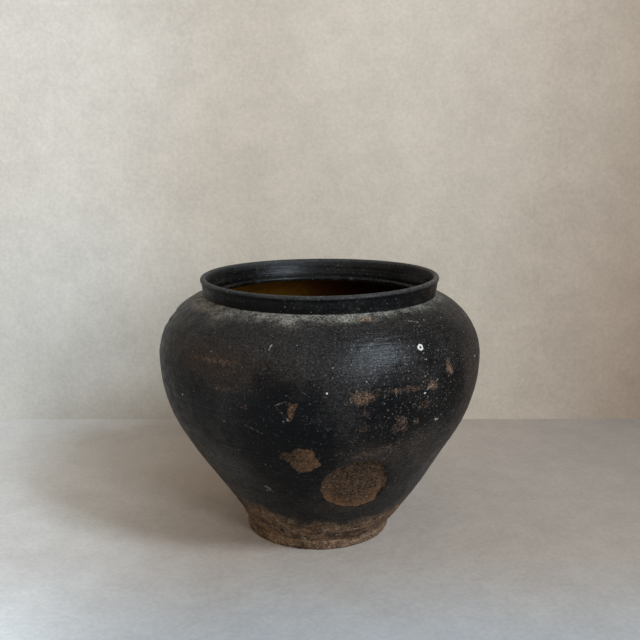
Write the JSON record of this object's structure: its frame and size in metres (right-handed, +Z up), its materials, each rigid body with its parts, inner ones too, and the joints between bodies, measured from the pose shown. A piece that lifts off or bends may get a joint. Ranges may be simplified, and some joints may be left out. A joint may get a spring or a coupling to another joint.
{
  "type": "clay pot",
  "caption": "Round-bodied black clay pot with a small flat foot, a high shoulder and a short flared collar with a rounded lip, glazed amber inside.",
  "frame": {"origin": "on the pot's axis, at the underside of the foot", "axes": "+Z up along the axis of revolution, from the foot to the mouth; X and Y are free, because the pot is round"},
  "size_m": [0.325, 0.325, 0.2659],
  "materials": {
    "smoked_clay": "smoke-blackened unglazed earthenware, burnished to a dull sheen, worn brown in patches",
    "bare_clay": "bare brown earthenware, matt and gritty",
    "slip_clay": "dried and fired clay slip, matt",
    "amber_glaze": "glossy amber glaze"
  },
  "bodies": {
    "root": {"base_disc": "bare_clay", "foot_seam": "slip_clay", "lower_wall": "smoked_clay", "wall_seam": "slip_clay", "belly_course": "smoked_clay", "belly_seam": "slip_clay", "shoulder_course": "smoked_clay", "collar_seam": "slip_clay", "collar": "smoked_clay", "lip_seam": "slip_clay", "lip_bead": "smoked_clay", "glaze_lining": "amber_glaze"}
  },
  "joints": []
}
